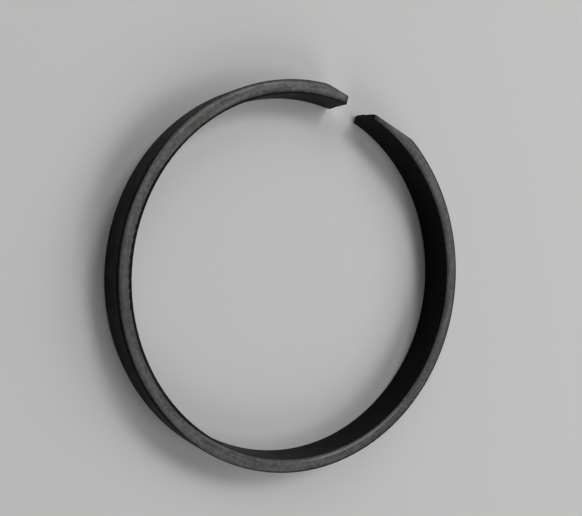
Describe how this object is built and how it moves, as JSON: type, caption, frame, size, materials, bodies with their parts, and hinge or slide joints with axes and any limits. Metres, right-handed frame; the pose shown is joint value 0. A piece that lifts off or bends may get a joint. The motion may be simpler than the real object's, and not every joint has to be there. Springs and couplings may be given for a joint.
{
  "type": "retaining ring",
  "caption": "Split spring ring of round-edged flat strip, coiled to a circle with a gap, its ends ground thin on the outer side; springs outward into a groove in a bore.",
  "frame": {"origin": "centre of the ring, on its axis and half way up the strip, in the middle plane of the groove that it sits in", "axes": "+Z along the ring's axis, up; +Y through the middle of the gap between the two ends; +X towards the end with the long ground flat"},
  "size_m": [0.07, 0.0696, 0.007],
  "materials": {
    "black_spring_steel": "oiled black oxide on spring steel, satin, rubbed a little brighter on the upper edge"
  },
  "bodies": {
    "root": {"retaining_ring": "black_spring_steel"}
  },
  "joints": []
}
